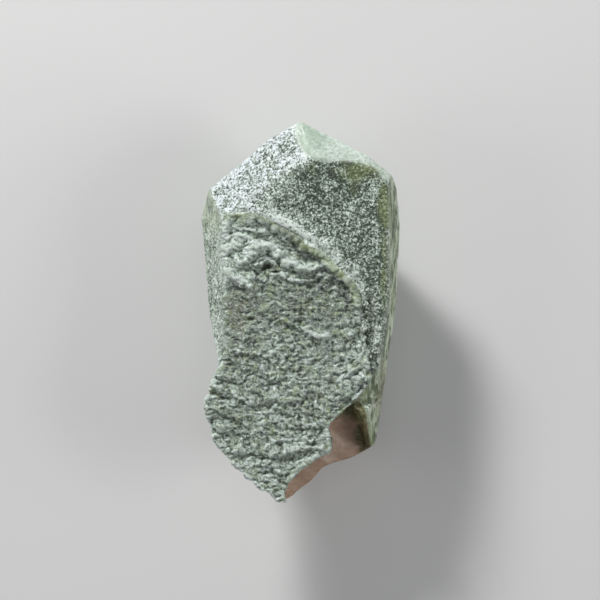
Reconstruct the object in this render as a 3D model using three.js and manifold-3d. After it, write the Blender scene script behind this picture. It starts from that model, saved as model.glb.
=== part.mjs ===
// A chlorite phantom quartz point, lying on its back.
//
// One crystal, grown and broken as one piece. It has flat prism faces and a blunt tip of sloping
// faces, a rough lumpy crust sunk into the front behind a ledge, a groove and a rough strip along
// the crust's right side, and a broken root where the clear inside of the quartz shows.
//
// Millimetres. +X is the crystal's right as it is seen from above, +Y runs along it to the tip,
// and +Z is up, out of the crusted front. The origin is the middle of its base, on the surface
// that it lies on.
import * as THREE from "three";
import { ConvexGeometry } from "three/addons/geometries/ConvexGeometry.js";
import { mergeVertices } from "three/addons/utils/BufferGeometryUtils.js";
import Module from "manifold-3d";

// Driving dimensions
const TIP_Y = 38.1;
const ROOT_Y = -38.1;
const HALF_WIDTH = 19.9;
const FRONT_Z = 22;
const FRONT_FALL = 0.035; // how much the front drops for each millimetre to the right
const CRUST_GRID = 0.8;
const BREAK_GRID = 1.7;
const SKY_Z = 40; // above everything: the tops of the cutting solids

const wasm = await Module();
wasm.setup();

// Helpers

const v3 = (x, y, z) => new THREE.Vector3(x, y, z);
const clamp01 = (t) => Math.min(1, Math.max(0, t));
const smooth = (t) => clamp01(t) ** 2 * (3 - 2 * clamp01(t));

// A three.js geometry as a solid that can be joined and cut.
function solid(geometry) {
  const bare = geometry.index ? geometry.toNonIndexed() : geometry.clone();
  bare.deleteAttribute("normal");
  bare.deleteAttribute("uv");
  const merged = mergeVertices(bare, 1e-5);
  return new wasm.Manifold(
    new wasm.Mesh({
      numProp: 3,
      vertProperties: new Float32Array(merged.attributes.position.array),
      triVerts: new Uint32Array(merged.index.array),
    }),
  );
}

// A solid as a three.js geometry.
function geometryOf(body) {
  const mesh = body.getMesh();
  const geometry = new THREE.BufferGeometry();
  geometry.setAttribute("position", new THREE.BufferAttribute(mesh.vertProperties, 3));
  geometry.setIndex(new THREE.BufferAttribute(mesh.triVerts, 1));
  const flat = geometry.toNonIndexed();
  flat.computeVertexNormals();
  return flat;
}

// The convex solid that lies behind every one of the planes.
function solidBehind(planes) {
  const corners = [];
  for (let i = 0; i < planes.length; i++)
    for (let j = i + 1; j < planes.length; j++)
      for (let k = j + 1; k < planes.length; k++) {
        const corner = meetingPoint(planes[i], planes[j], planes[k]);
        if (corner && planes.every((plane) => plane.distanceToPoint(corner) < 1e-6)) corners.push(corner);
      }
  return solid(new ConvexGeometry(corners));
}

function meetingPoint(a, b, c) {
  const across = v3(0, 0, 0).crossVectors(b.normal, c.normal);
  const spread = a.normal.dot(across);
  if (Math.abs(spread) < 1e-7) return null;
  return across
    .multiplyScalar(-a.constant)
    .add(v3(0, 0, 0).crossVectors(c.normal, a.normal).multiplyScalar(-b.constant))
    .add(v3(0, 0, 0).crossVectors(a.normal, b.normal).multiplyScalar(-c.constant))
    .divideScalar(spread);
}

// A plane through three points, which faces away from the middle of the crystal.
function faceThrough(a, b, c) {
  const plane = new THREE.Plane().setFromCoplanarPoints(a, b, c);
  return plane.distanceToPoint(MIDDLE) > 0 ? plane.negate() : plane;
}

// A plane through a point, which faces along a direction.
function facing(direction, point) {
  return new THREE.Plane().setFromNormalAndCoplanarPoint(direction.normalize(), point);
}

// A prism face: turned round the long axis from the front, and leaning towards the tip or the root.
function prismFace(turnDegrees, leanDegrees, point) {
  const turn = THREE.MathUtils.degToRad(turnDegrees);
  const lean = THREE.MathUtils.degToRad(leanDegrees);
  const out = v3(Math.sin(turn) * Math.cos(lean), Math.sin(lean), Math.cos(turn) * Math.cos(lean));
  return facing(out, point);
}

// A smooth closed outline through points, as a solid from below the crystal to above it.
function outlineSolid(points, straight = false) {
  const route = points.map(([x, y]) => v3(x, y, 0));
  const curve = new THREE.CatmullRomCurve3(route, true, "centripetal");
  const steps = straight ? route : curve.getPoints(points.length * 3).slice(0, -1);
  const shape = new THREE.Shape(steps.map((p) => new THREE.Vector2(p.x, p.y)));
  const wall = new THREE.ExtrudeGeometry(shape, { depth: SKY_Z + 10, bevelEnabled: false });
  wall.translate(0, 0, -10);
  return solid(wall);
}

// Everything above a height over the surface, inside a rectangle, as a solid for cutting.
function solidAbove(height, [x0, x1], [y0, y1], grid) {
  const columns = Math.round((x1 - x0) / grid);
  const rows = Math.round((y1 - y0) / grid);
  const box = new THREE.BoxGeometry(1, 1, 1, columns, rows, 1);
  const place = box.attributes.position;
  for (let i = 0; i < place.count; i++) {
    const inside = Math.abs(place.getX(i)) < 0.499 && Math.abs(place.getY(i)) < 0.499;
    const stray = inside ? 0.6 * grid : 0; // inner points stray, so that no rows show in the relief
    const x = x0 + (place.getX(i) + 0.5) * (x1 - x0) + stray * (chance(i, 1, 5) - 0.5);
    const y = y0 + (place.getY(i) + 0.5) * (y1 - y0) + stray * (chance(i, 2, 5) - 0.5);
    place.setXYZ(i, x, y, place.getZ(i) < 0 ? height(x, y) : SKY_Z);
  }
  return solid(box);
}

// Relief

const frontAt = (x) => FRONT_Z - FRONT_FALL * x;

// The nearest distance from a point to a route of straight stretches.
function distanceTo(route, x, y) {
  let nearest = Infinity;
  for (let i = 1; i < route.length; i++) {
    const [ax, ay] = route[i - 1];
    const [bx, by] = route[i];
    const along = clamp01(((x - ax) * (bx - ax) + (y - ay) * (by - ay)) / ((bx - ax) ** 2 + (by - ay) ** 2));
    nearest = Math.min(nearest, Math.hypot(x - ax - along * (bx - ax), y - ay - along * (by - ay)));
  }
  return nearest;
}

const ridge = (route, height, width) => (x, y) => height * Math.exp(-((distanceTo(route, x, y) / width) ** 2));

const dimple = (cx, cy, rx, ry, depth) => (x, y) =>
  -depth * Math.exp(-(((x - cx) / rx) ** 2) - ((y - cy) / ry) ** 2);

// A repeatable number from 0 to 1 for a cell of a grid.
function chance(i, j, salt) {
  const wave = Math.sin(i * 127.1 + j * 311.7 + salt * 74.7) * 43758.5453;
  return wave - Math.floor(wave);
}

// Rounded lumps set side by side, one in each cell, from 0 in the creases to 1 on the crowns.
function lumps(x, y, width, height, salt) {
  const column = Math.floor(x / width);
  const row = Math.floor(y / height);
  let nearest = Infinity;
  for (let i = column - 1; i <= column + 1; i++)
    for (let j = row - 1; j <= row + 1; j++) {
      const dx = x / width - i - 0.15 - 0.7 * chance(i, j, salt);
      const dy = y / height - j - 0.15 - 0.7 * chance(i, j, salt + 1);
      nearest = Math.min(nearest, dx * dx + dy * dy);
    }
  return 1 - Math.min(1, nearest);
}

// The crystal's faces

const MIDDLE = v3(0, 0, 11);
const apex = v3(0, TIP_Y, 15.5);
const threeFaceCorner = v3(1.4, 30.9, frontAt(1.4)); // where the tip's two front faces meet the front
const tipEdge = v3(-6, 34.9, 14.05); // a bend in the tip's left edge
const leftShoulder = v3(-18.4, 24.4, 14);
const rightShoulder = v3(13.2, 29.3, frontAt(13.2));
const ledgeCorner = v3(-15.6, 18.2, 20.5);
const leftWidest = v3(-HALF_WIDTH, 18.6, 10.5);
const rightWidest = v3(HALF_WIDTH, 17, 16.2);
const rootRight = v3(14.5, -26.9, 14); // the lower end of the right side face

const crystalFaces = [
  // the front, and the two narrow side faces, the right one bent where it tapers to the root
  faceThrough(v3(0, 0, frontAt(0)), v3(0, 20, frontAt(0)), v3(10, 0, frontAt(10))),
  prismFace(-66.7, 0, ledgeCorner),
  prismFace(66, 0, v3(17.6, 10, frontAt(17.6))),
  prismFace(64, -9.2, v3(17.6, 2, frontAt(17.6))),
  // the back and its two sloping sides
  new THREE.Plane(v3(0, 0, -1), 0),
  prismFace(-118, -9.8, leftWidest),
  prismFace(-118, -21.7, v3(-18.2, -1, 14.5)),
  prismFace(119, -5.4, rightWidest),
  // the tip: two faces in front with a worn edge below the left one and a chip at the right
  faceThrough(apex, threeFaceCorner, leftShoulder),
  faceThrough(apex, threeFaceCorner, rightShoulder),
  facing(v3(-0.25, 0.27, 0.93), v3(-5.2, 24.2, 21.75)),
  facing(v3(0.5, 0.58, 0.64), rightShoulder),
  // the tip: four faces behind
  faceThrough(apex, tipEdge, v3(-1, 19.5, 0)),
  faceThrough(tipEdge, leftShoulder, v3(-9, 17.5, 0)),
  facing(v3(0.519, 0.654, -0.55), apex),
  facing(v3(0.02, 0.6, -0.8), v3(0, 30.5, 6)),
  // the shoulders' short slopes down to the widest points
  facing(v3(-0.972, 0.235, 0), leftWidest),
  facing(v3(0.95, 0.13, -0.28), rightWidest),
  // the broken root, to the left and to the right
  faceThrough(v3(-17.2, -15, 19.5), v3(-4, -37.4, 18.5), v3(-7, -20.5, 0)),
  faceThrough(rootRight, v3(-3.7, ROOT_Y, 17.5), v3(5, -21.5, 0)),
  faceThrough(rootRight, v3(-3.7, ROOT_Y, 17.5), v3(rootRight.x, rootRight.y, FRONT_Z)),
  facing(v3(0.9, -0.38, -0.12), v3(15.6, -24.3, 15)),
  new THREE.Plane(v3(0, -1, 0), ROOT_Y),
];

// The lower left, where the crust spreads past the crystal's side as a thick plate.
const spreadPlate = [
  v3(-15.2, -8.5, 23),
  v3(-17, -14, 22.5),
  v3(-19.1, -18.3, 20.6),
  v3(-18.4, -21.6, 21),
  v3(-17.5, -25.8, 20.6),
  v3(-15.9, -28.4, 20.8),
  v3(-12.4, -31.6, 20.8),
  v3(-9.6, -34.2, 20.6),
  v3(-6.8, -36.4, 20.4),
  v3(-3.7, ROOT_Y, 19.6),
  v3(-1.5, -36.6, 20),
  v3(6, -28, 22),
  v3(10, -14, 23),
  v3(-8, -24, 24),
  v3(-12.5, -9, 15),
  v3(-15.5, -17.5, 16.5),
  v3(-13.5, -25.5, 15.5),
  v3(-7, -31.5, 15.5),
  v3(-3.2, -35.5, 16.5),
  v3(5, -24, 14),
];

// The crust

// Clockwise from the upper left: along the ledge below the tip, down the right side,
// and back round the broken lower right edge. Left and below it runs out past the crystal.
const crustOutline = [
  [-24, 17],
  [-15.7, 18.4],
  [-12.3, 19.3],
  [-9.4, 19.4],
  [-5.8, 17.8],
  [-2.1, 15.9],
  [0.2, 14.6],
  [1.2, 13],
  [3.4, 12.3],
  [5.6, 10.9],
  [6.7, 9.2],
  [8.5, 7.4],
  [10.9, 5.1],
  [11.8, 3],
  [11.9, -1.8],
  [12.6, -6.5],
  [13.5, -10.3],
  [14.1, -12.5],
  [13.3, -14.9],
  [11.2, -17.5],
  [7.4, -21],
  [5.8, -22.6],
  [5.5, -25],
  [5.9, -27.4],
  [1.9, -29.9],
  [-2.1, -33.6],
  [-3.3, -36],
  [-3.4, -42],
  [-16, -44],
  [-28, -26],
];

const crustForms = [
  // the bent ridge across the top of the crust, in two arms, and the swelling at its left end
  ridge([[-11.6, 9.8], [-8.6, 12.2], [-6.3, 12.7], [-4.4, 11], [-2.4, 9.4], [0.6, 8.6], [6.2, 9.4]], 1.5, 1.25),
  ridge([[-15.6, 7.4], [-13.4, 7.2], [-10.2, 5.2]], 0.9, 1.5),
  // hollows: the deep pit below the ridge, the long one below the ledge, and smaller ones
  dimple(-7, 9.2, 2.1, 1.5, 2.1),
  dimple(-1.6, 13.7, 3.4, 1.3, 1.5),
  dimple(-15.2, 12.2, 2.2, 1.6, 1),
  dimple(-6.8, 3.9, 1.8, 1.6, 0.9),
  dimple(-14.6, -22.6, 2.4, 1.1, 0.8),
  // short ridges on the crust's broad lower part
  ridge([[0.8, -3.2], [5.4, -5.2]], 0.55, 0.8),
  ridge([[12.2, -9.8], [13, -13]], 0.7, 1.3),
  ridge([[11, -13.4], [6.2, -17.6]], 0.6, 1.1),
  ridge([[6, -26.6], [-1.6, -32.4]], 0.5, 1.2),
  ridge([[-16.5, -19.5], [-12, -21]], 0.4, 1.1),
];

// The level of the crust: a sunken shelf below the ledge, then a step down below the bent ridge
// to a broad part that swells gently and falls away to the broken edge at the lower left.
function crustAt(x, y) {
  const shelf = smooth((y - 8 - 0.12 * x) / 2.2);
  const edgeFall = 1.1 * smooth((-x * 0.79 - y * 0.61 - 20.5) / 6.5);
  const swell = 0.7 * Math.exp(-(((x + 1) / 11) ** 2) - ((y + 14) / 17) ** 2);
  const level = frontAt(x) - 1.15 - 0.45 * shelf + swell - edgeFall;
  const forms = crustForms.reduce((sum, form) => sum + form(x, y), 0);
  return level + forms + 0.75 * (lumps(x, y, 3, 2.1, 3) - 0.6);
}

// The lip: the front swells a little along the ledge, down to the start of the groove.
const lipRoute = [
  [-9, 20.1],
  [-4.6, 18.2],
  [0.4, 15.4],
  [4.2, 13.4],
  [7.6, 10.5],
  [10.8, 7.3],
  [12.9, 3.6],
  [13.4, -0.5],
];

function makeLip() {
  const sunk = 1.05; // the middle of its round section lies this far below the front
  const route = lipRoute.map(([x, y], i) => {
    const ends = i === 0 || i === lipRoute.length - 1;
    return v3(x, y, frontAt(x) - (ends ? sunk + 0.7 : sunk));
  });
  const section = new THREE.Shape().absarc(0, 0, 1.45, 0, 2 * Math.PI, false);
  const along = new THREE.CatmullRomCurve3(route, false, "centripetal");
  return solid(new THREE.ExtrudeGeometry(section, { steps: 22, curveSegments: 12, extrudePath: along }));
}

// The rough strip between the crust and the right side face, with a groove next to the crust.

const stripOutline = [
  [9, 3],
  [12.6, 8],
  [14.8, 5.5],
  [16.5, -1],
  [16.8, -8],
  [17.6, -12],
  [17, -17],
  [15, -21],
  [9, -21],
];

const grooveRoute = [
  [12.9, 4.6],
  [13.3, -1],
  [13.8, -7],
  [14.4, -10],
];
const groove = ridge(grooveRoute, -1.5, 0.75);

// The strip starts level with the front and roughens towards the root. Beside the crust's lower
// right edge it slopes away to the side face.
function stripAt(x, y) {
  const rough = smooth((6.5 - y) / 8);
  const sloping = smooth((-y - 9.5) / 3.5) * smooth((y + 20) / 3);
  const beyondCrust = Math.max(0, x - Math.min(14.1, 14.1 + 0.58 * (y + 12.5)));
  const relief = groove(x, y) - 0.3 + 0.6 * (1 - sloping) * (lumps(x, y, 1.7, 2.4, 11) - 0.6);
  return frontAt(x) + rough * relief - sloping * (0.8 + 0.7 * beyondCrust);
}

// The clean break at the lower right: a slope that is hollowed like the inside of a shell.

const breakOutline = [
  [-3.6, -44],
  [-6, -36],
  [4, -24],
  [9.5, -15],
  [21, -15],
  [24, -40],
  [8, -46],
];

function breakAt(x, y) {
  const slope = 18.7 - 0.45 * (x + 3.7) + 0.36 * (y + 38);
  const hollow = 0.9 * Math.exp(-(((x - 8.5) / 4.5) ** 2) - ((y + 25) / 4.5) ** 2);
  const ripple = 0.12 * Math.sin(1.5 * Math.hypot(x - 14, y + 15));
  const sideEdge = 11.7 - 0.27 * (y + 17); // the break climbs steeply to the right side face here
  const climb = 7.5 * smooth((x - sideEdge + 1.9) / 2.6);
  return slope - hollow + ripple + climb;
}

// What is broken off the lower right end, down to the curved edge that it has from above.
const brokenOff = [
  [16.8, -26.2],
  [14.4, -26.9],
  [12.4, -28.5],
  [8.6, -29.8],
  [6.4, -30.4],
  [4.3, -31.4],
  [2.2, -33.8],
  [-0.6, -35.9],
  [-2.4, -38.4],
  [-1, -44],
  [14, -40],
  [22, -30],
];

// Shell-shaped hollows in the broken root, below and behind, as centre and radius.
const rootScoops = [
  [v3(-9, -51, -5), 27],
  [v3(13, -45, 0), 21],
  [v3(-24, -33, 4), 14],
];

function makeCrystal() {
  const crust = outlineSolid(crustOutline);
  // a hair smaller round a point inside it, so that the cuts beside the crust overlap its wall
  const crustInside = crust.translate([10, 22, 0]).scale([0.997, 0.997, 1]).translate([-10, -22, 0]);
  const aboveCrust = solidAbove(crustAt, [-23, 17], [-40, 21], CRUST_GRID).intersect(crust);
  const aboveStrip = solidAbove(stripAt, [8, 18], [-22, 9], CRUST_GRID)
    .intersect(outlineSolid(stripOutline))
    .subtract(crustInside);
  const aboveBreak = solidAbove(breakAt, [-8, 22], [-41, -14], BREAK_GRID)
    .intersect(outlineSolid(breakOutline, true))
    .subtract(crustInside);
  let crystal = solidBehind(crystalFaces).add(makeLip()).add(solid(new ConvexGeometry(spreadPlate)));
  for (const [centre, radius] of rootScoops) {
    const scoop = new THREE.SphereGeometry(radius, 40, 28).translate(centre.x, centre.y, centre.z);
    crystal = crystal.subtract(solid(scoop));
  }
  crystal = crystal.subtract(outlineSolid(brokenOff));
  // the cuts leave crumbs thinner than a hair, so only the crystal itself is kept
  const pieces = crystal.subtract(aboveCrust).subtract(aboveStrip).subtract(aboveBreak).decompose();
  return pieces.sort((a, b) => b.volume() - a.volume())[0];
}

const chloriteQuartz = new THREE.MeshStandardMaterial({ color: 0x93a08c, roughness: 0.6, metalness: 0 });

const quartzPoint = new THREE.Mesh(geometryOf(makeCrystal()), chloriteQuartz);
quartzPoint.name = "quartz_point";

const specimen = new THREE.Group();
specimen.add(quartzPoint);

export default specimen;
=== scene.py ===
"""A chlorite phantom quartz point on a pale studio floor.

The crystal lies on its back, and the camera looks straight down on its crusted front. Its mesh starts
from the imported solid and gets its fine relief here: the knobs of the crust, the grain of the frosted
faces, the streaks of the side faces and the ripples of the clean break. The relief is worked out in
millimetres, in the crystal's own frame: +X to its right, +Y to its tip and +Z up, out of its front.
"""

import itertools
import math

import bpy
import numpy as np
from mathutils import Matrix, Vector


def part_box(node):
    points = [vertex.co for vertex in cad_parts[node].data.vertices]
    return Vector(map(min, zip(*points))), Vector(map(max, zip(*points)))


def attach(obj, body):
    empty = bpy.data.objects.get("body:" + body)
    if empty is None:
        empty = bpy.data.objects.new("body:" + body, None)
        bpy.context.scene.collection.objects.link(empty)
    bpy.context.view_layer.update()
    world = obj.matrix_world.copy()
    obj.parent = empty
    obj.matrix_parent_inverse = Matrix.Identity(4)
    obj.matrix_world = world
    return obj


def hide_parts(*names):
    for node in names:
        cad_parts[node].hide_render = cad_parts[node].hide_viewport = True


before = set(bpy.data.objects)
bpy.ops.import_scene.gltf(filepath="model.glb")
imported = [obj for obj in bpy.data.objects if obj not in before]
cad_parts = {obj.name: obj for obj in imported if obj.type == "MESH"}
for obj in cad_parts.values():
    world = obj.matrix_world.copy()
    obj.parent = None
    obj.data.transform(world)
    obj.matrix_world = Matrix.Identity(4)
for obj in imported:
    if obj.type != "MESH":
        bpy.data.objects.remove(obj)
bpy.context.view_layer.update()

bl_info = {
    "name": "Phantom quartz point",
    "version": (1, 0, 0),
    "blender": (4, 5, 0),
    "location": "View3D > Sidebar > Mineral",
    "description": "Makes a chlorite phantom quartz point and the studio it is shown in",
    "category": "Add Mesh",
}

MM = 0.001
NODE = "quartz_point"

# The crystal's regions, seen from above, in millimetres

CRUST_EDGE = [
    (-15.4, 18.5), (-12.3, 19.3), (-9.4, 19.4), (-5.8, 17.8), (-2.1, 15.9), (0.2, 14.6), (1.2, 13.0),
    (3.4, 12.3), (5.6, 10.9), (6.7, 9.2), (8.5, 7.4), (10.9, 5.1), (11.8, 3.0), (11.9, -1.8),
    (12.6, -6.5), (13.5, -10.3), (14.1, -12.5), (13.1, -14.9), (10.9, -17.6), (6.9, -21.2),
    (5.6, -22.6), (5.5, -25.0), (5.9, -27.4), (1.9, -29.9), (-2.1, -33.6), (-3.3, -36.0),
    (-3.4, -42.0), (-16.0, -44.0), (-28.0, -26.0), (-22.0, -14.0), (-15.6, -9.0), (-15.2, 0.0),
    (-15.3, 9.0),
]
TIP_RIDGE = [(0.4, 39.5), (-0.9, 36.6), (-0.7, 34.4), (0.1, 32.5), (1.4, 30.9)]
LEFT_TIP_FACE = [
    *TIP_RIDGE, (-2.1, 28.0), (-7.7, 21.6), (-9.1, 19.0), (-12.3, 19.0), (-15.5, 18.2), (-17.5, 20.4),
    (-18.5, 24.2), (-21.0, 27.0), (-8.0, 38.0),
]
BROW = [(8.5, 30.0), (12.5, 29.4), (15.1, 28.2), (16.7, 26.2)]
RIGHT_TIP_FACE = [*TIP_RIDGE, (4.7, 29.6), *BROW, (20.0, 27.0), (16.0, 34.0), (6.0, 41.0)]
RIGHT_SIDE_EDGE = [
    (17.6, 27.0), (17.6, 2.2), (16.9, -3.6), (16.1, -8.6), (15.4, -11.0), (14.2, -13.2), (11.8, -17.0),
    (13.0, -20.0), (14.0, -28.0),
]
LEDGE = CRUST_EDGE[1:14]
LEFT_LEDGE = CRUST_EDGE[:7]
BRIGHT_LEDGE = CRUST_EDGE[3:13]
SMOOTH_LIP = [
    (1.0, 12.9), (2.2, 12.4), (3.6, 11.3), (6.2, 9.2), (8.2, 7.5), (9.4, 6.3), (10.4, 4.8),
    (11.1, 1.8),
]
GROOVE = [(12.6, 7.4), (13.3, 1.0), (13.5, -4.0), (13.9, -9.0), (14.4, -11.0)]
SIDE_LINE = [(17.0, 12.0), (17.0, 2.0), (16.2, -4.0), (15.4, -9.0)]
BREAK_EDGE = [(11.4, -17.0), (12.9, -20.0), (13.6, -24.0), (14.3, -27.5), (14.6, -30.0)]
LEFT_TIP_EDGE = [(-18.5, 24.4), (-12.0, 29.0), (-6.0, 34.8), (0.0, 38.2)]

# Sharp crests on the crust. Each has its route, its height and its width above and below.
# The first seven, near the ledge, are painted pale as painted highlights.
BENT_CREST = [(-12.8, 10.6), (-10.6, 12.0), (-8.0, 13.0), (-5.3, 12.6), (-3.7, 11.1), (-2.1, 9.7), (0.5, 8.7)]
CRUST_CRESTS = [
    (BENT_CREST, 0.3, 0.5, 0.4),
    ([(0.5, 8.7), (2.5, 8.6), (5.4, 9.2), (7.2, 8.6)], 0.3, 0.6, 0.4),
    ([(-4.0, 7.1), (-2.4, 6.3), (0.9, 6.0), (3.0, 6.6), (5.7, 7.0), (8.1, 6.8)], 0.3, 1.2, 0.4),
    ([(-15.2, 7.9), (-13.4, 7.2), (-11.8, 6.0), (-9.8, 4.8)], 0.3, 0.7, 0.5),
    ([(-10.3, 16.5), (-7.2, 16.1)], 0.4, 0.3, 0.3),
    ([(-14.6, 14.4), (-12.2, 14.9), (-10.0, 13.8)], 0.3, 0.5, 0.4),
    ([(1.1, -4.1), (3.4, -4.9), (5.1, -5.4)], 0.25, 0.5, 0.4),
    ([(-6.5, -1.4), (-2.0, -2.3), (1.2, -3.6)], 0.25, 0.6, 0.5),
    ([(7.9, -14.8), (9.6, -12.6), (11.6, -11.2), (13.2, -10.4)], 0.2, 0.8, 0.6),
    ([(8.0, -18.2), (10.4, -15.9), (12.6, -13.6)], 0.12, 0.8, 0.8),
    ([(-12.8, -8.1), (-7.2, -8.9), (-1.0, -8.4)], 0.25, 0.8, 0.5),
    ([(-14.5, -16.6), (-8.1, -18.0), (-2.4, -17.6)], 0.25, 0.8, 0.5),
    ([(-2.8, -24.4), (1.7, -25.8), (5.4, -25.2)], 0.3, 0.8, 0.5),
    ([(-3.4, -28.5), (0.0, -27.0), (4.0, -27.2)], 0.4, 0.6, 0.5),
    ([(-12.9, -27.6), (-7.4, -28.6), (-2.4, -27.8)], 0.3, 0.8, 0.5),
    ([(-9.5, -31.0), (-6.5, -30.0), (-4.2, -31.6)], 0.3, 0.6, 0.5),
]
HIGHLIGHT_CRESTS = [form[0] for form in CRUST_CRESTS[:7]]

# Soft round places on the crystal, each with its amount, its centre, its half width and its half length.
# First the forms: where the crust lies lower than the imported solid (higher where the amount is negative),
# its deepest pits, which also get painted shade, and the chips off the tip's edge.
CRUST_HOLLOWS = [
    (0.5, -6.7, 8.7, 0.8, 0.5), (0.4, -4.8, 8.0, 0.4, 0.8), (0.3, -9.4, 17.4, 1.9, 0.35),
    (0.3, -12.4, 4.8, 1.6, 0.6), (-0.8, -9.0, 9.4, 1.6, 0.9), (-0.3, -1.0, 13.2, 2.6, 0.9),
    (-0.7, -15.2, 12.2, 1.8, 1.4), (-0.3, -14.6, -22.6, 2.0, 0.9), (0.3, 6.4, -14.4, 1.2, 0.8),
]
PITS = [(1.0, -6.9, 8.7, 1.4, 0.55), (1.0, -5.2, 7.7, 0.8, 0.35), (1.0, -9.8, -1.8, 0.6, 0.4)]
TIP_CHIPS = [(1.0, -5.6, 35.2, 1.6, 1.0), (1.0, -12.4, 29.4, 1.8, 1.0), (0.7, -9.2, 31.8, 0.8, 0.8)]

# Then the colours: more frost or less on the faces, paler or darker crust, and the olive and brown stains.
# Among the crust's patches the swelling at the left is painted light and the hollow under the ledge painted
# shade, and the olive spots by the lip are partly painted shade.
FROST_PATCHES = [
    (0.20, -3.5, 17.5, 6.5, 4.0), (0.40, 1.2, 31.0, 0.7, 0.7), (0.20, 13.5, 24.5, 2.5, 2.6),
    (-0.10, 4.0, 24.0, 7.0, 6.0), (-0.20, 9.0, 11.0, 2.5, 2.5), (-0.18, 13.5, 6.0, 2.0, 5.0),
]
PALE_PATCHES = [
    (0.80, -9.5, 14.6, 7.5, 4.0), (0.80, -13.5, 6.4, 2.8, 2.0), (0.30, 10.0, -12.5, 4.0, 3.0),
    (-0.50, 1.5, 0.5, 11.0, 5.5), (-0.60, -1.6, 13.4, 2.4, 0.9), (-0.35, -12.5, -0.5, 4.0, 5.0),
]
FACE_OLIVE = [
    (1.50, 12.0, 27.8, 4.8, 1.8), (1.30, 16.8, 20.5, 1.5, 5.0), (0.80, 16.6, 7.0, 0.9, 9.0),
    (0.45, 2.5, 28.5, 1.5, 2.5), (0.50, 10.5, 24.5, 1.2, 3.0), (0.35, -1.0, 27.5, 1.6, 1.6),
]
LIP_OLIVE = [(1.0, 4.1, 11.3, 1.2, 0.8), (1.0, 8.2, 7.2, 0.9, 0.7), (0.7, 5.8, 10.0, 0.8, 0.8)]
CRUST_OLIVE = [
    (1.0, -11.1, 9.2, 1.0, 0.7), (1.0, -6.4, 9.3, 1.6, 0.5), (1.0, -4.6, 10.7, 0.7, 0.5),
    (1.0, -2.8, 9.5, 1.1, 0.7), (1.0, -0.1, 6.9, 1.6, 0.6), (1.0, 3.6, 7.2, 1.4, 0.7),
    (1.0, 6.6, 7.6, 1.0, 0.6), (1.0, -1.8, 14.2, 2.6, 0.9), (1.0, -14.6, 4.6, 0.9, 1.6),
    (1.0, 10.9, -11.6, 1.0, 0.8),
]
CRUST_BROWN = [(1.0, -12.7, -1.0, 3.5, 7.0), (0.6, 4.0, -17.0, 5.0, 2.0)]

PIT_DEPTH = 0.7
CRUST_SINK = 0.45
# Where the blow that broke the root off struck: the ribs of the clean break run round it
BLOW = (14.0, -15.0)


# Noise and shapes


def scattered(cells, salt):
    """A repeatable number from 0 to 1 for each whole-numbered cell."""
    mixed = np.full(cells.shape[:-1], salt * 40503 % 65536, dtype=np.uint32)
    for axis, factor in enumerate((73856093, 19349663, 83492791)):
        mixed ^= cells[..., axis].astype(np.uint32) * np.uint32(factor)
    for shift, factor in ((16, 2146121005), (15, 2221713035)):
        mixed ^= mixed >> np.uint32(shift)
        mixed *= np.uint32(factor)
    mixed ^= mixed >> np.uint32(16)
    return mixed / np.float64(0xFFFFFFFF)


def grain(points, size, salt):
    """Smooth noise from -1 to 1 with blobs about as wide as size, which may differ along X, Y and Z."""
    at = points / np.asarray(size, float)
    low = np.floor(at)
    ease = smooth(at - low)
    total = np.zeros(len(points))
    for corner in itertools.product((0, 1), repeat=3):
        share = np.where(corner, ease, 1 - ease).prod(axis=1)
        total += share * scattered((low + corner).astype(np.int64), salt)
    return 2 * total - 1


def layered(points, size, salt, layers=3):
    """Grain with finer and fainter grain on top of it, from about -1 to 1."""
    return sum(grain(points, np.asarray(size, float) / 2**i, salt + i) / 2**i for i in range(layers)) / 1.5


def knobs(points, size, salt):
    """Rounded knobs side by side, from 0 in the creases to 1 on top, and a number of its own for each."""
    at = points / np.asarray(size, float)
    low = np.floor(at).astype(np.int64)
    nearest = np.full(len(points), 9.0)
    own = np.zeros(len(points))
    for step in itertools.product((-1, 0, 1), repeat=3):
        cell = low + step
        stray = np.stack([scattered(cell, salt + axis) for axis in range(3)], axis=1)
        away = ((at - cell - 0.1 - 0.8 * stray) ** 2).sum(axis=1)
        closer = away < nearest
        nearest = np.where(closer, away, nearest)
        own = np.where(closer, scattered(cell, salt + 3), own)
    return 1 - np.minimum(nearest, 1), own


def smooth(value, start=0.0, end=1.0):
    """0 before start and 1 after end, with an eased rise between them."""
    part = np.clip((value - start) / (end - start), 0, 1)
    return part * part * (3 - 2 * part)


def rounded(outline, steps=4):
    """A closed outline through the points, rounded as a centripetal Catmull-Rom curve."""
    corners = np.asarray(outline, float)
    places = []
    for i in range(len(corners)):
        a, b, c, d = (corners[(i + k) % len(corners)] for k in (-1, 0, 1, 2))
        sides = ((a, b), (b, c), (c, d))
        knots = np.cumsum([0] + [math.sqrt(np.linalg.norm(q - p)) for p, q in sides])
        for t in np.linspace(knots[1], knots[2], steps, endpoint=False):
            near = [between(t, knots[k], knots[k + 1], p, q) for k, (p, q) in enumerate(sides)]
            far = [between(t, knots[k], knots[k + 2], near[k], near[k + 1]) for k in range(2)]
            places.append(between(t, knots[1], knots[2], far[0], far[1]))
    return np.array(places)


def between(t, start, end, a, b):
    """The place at t on the line that is at a at start and at b at end."""
    return a + (b - a) * ((t - start) / (end - start))


def away_from(route, points, closed=False):
    """The distance, seen from above, from each point to a route of straight stretches."""
    x, y = points.T[:2]
    ends = list(route[1:]) + ([route[0]] if closed else [])
    nearest = np.full(len(x), np.inf)
    for (ax, ay), (bx, by) in zip(route, ends):
        dx, dy = bx - ax, by - ay
        along = np.clip(((x - ax) * dx + (y - ay) * dy) / (dx * dx + dy * dy), 0, 1)
        nearest = np.minimum(nearest, np.hypot(x - ax - along * dx, y - ay - along * dy))
    return nearest


def edge_at(y, route):
    """How far right a route that runs down the crystal lies at the height of each point."""
    return np.interp(-y, [-place[1] for place in route], [place[0] for place in route])


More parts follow.
